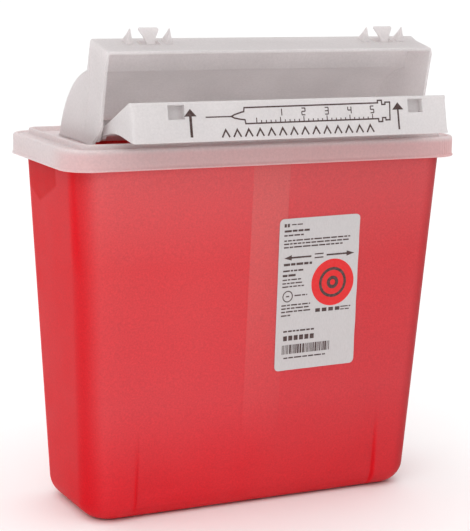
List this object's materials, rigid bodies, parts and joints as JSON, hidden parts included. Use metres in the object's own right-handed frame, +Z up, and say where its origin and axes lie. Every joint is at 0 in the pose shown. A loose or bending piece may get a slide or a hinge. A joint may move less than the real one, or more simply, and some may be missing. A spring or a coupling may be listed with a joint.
{
  "type": "sharps container",
  "caption": "Upright tapered disposal bin with a clipped-on lid frame, a clear hood over its mouth, a see-saw drop tray and two push-in closure tabs.",
  "frame": {"origin": "middle of the bin's base, on the surface it stands on", "axes": "+X along the width, -Y out of the front where the tray is, +Z up"},
  "size_m": [0.2736, 0.141, 0.3074],
  "materials": {
    "bin_plastic": "translucent frosted red polypropylene",
    "lid_plastic": "natural translucent polypropylene",
    "hood_plastic": "natural translucent polypropylene",
    "tray_plastic": "white polypropylene with a dark brown print",
    "label_film": "printed self-adhesive film"
  },
  "bodies": {
    "container": {"container_body": "bin_plastic", "lid_frame": "lid_plastic", "hood_shell": "hood_plastic", "container_label": "label_film"},
    "tray": {"drop_tray": "tray_plastic"},
    "lock_left": {"lock_plug_left": "hood_plastic"},
    "lock_right": {"lock_plug_right": "hood_plastic"}
  },
  "joints": [
    {"name": "tray_lift", "type": "hinge", "parent": "container", "child": "tray", "pos_m": [0, -0.033, 0.2451], "axis": [-1, 0, 0], "range_deg": [0, 65]},
    {"name": "lock_left_press", "type": "slide", "parent": "container", "child": "lock_left", "axis": [0, 0.1989, -0.98], "range_m": [0, 0.006]},
    {"name": "lock_right_press", "type": "slide", "parent": "container", "child": "lock_right", "axis": [0, 0.1989, -0.98], "range_m": [0, 0.006]}
  ]
}
